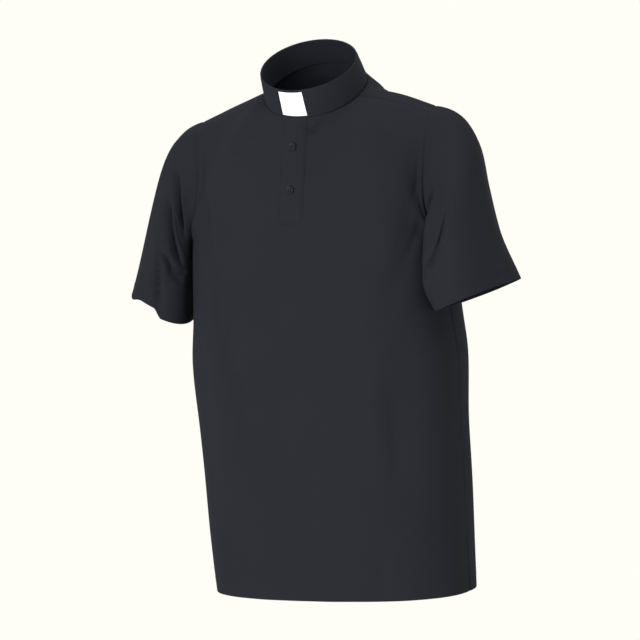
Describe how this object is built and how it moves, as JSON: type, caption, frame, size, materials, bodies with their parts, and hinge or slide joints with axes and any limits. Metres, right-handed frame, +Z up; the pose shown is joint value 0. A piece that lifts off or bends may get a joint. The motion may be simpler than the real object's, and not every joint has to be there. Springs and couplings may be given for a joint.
{
  "type": "clerical polo shirt",
  "caption": "short-sleeved dark clerical polo shirt with a stand collar, white collar tab and buttoned placket, in its worn hollow form",
  "frame": {"origin": "middle of the neck hole, level with the neck ends of the shoulder seams, where the wearer holds the shirt up", "axes": "+Z is up, the wearer faces -Y and the wearer's left side is +X"},
  "size_m": [0.6208, 0.2355, 0.813],
  "materials": {
    "cloth": "matt knit",
    "tab": "smooth",
    "buttons": "polished"
  },
  "bodies": {
    "root": {"front_panel": "cloth", "back_panel": "cloth", "sleeve_left": "cloth", "sleeve_right": "cloth", "collar_band": "cloth", "placket_upper": "cloth", "placket_under": "cloth", "collar_tab": "tab", "button_1": "buttons", "button_2": "buttons"}
  },
  "joints": []
}
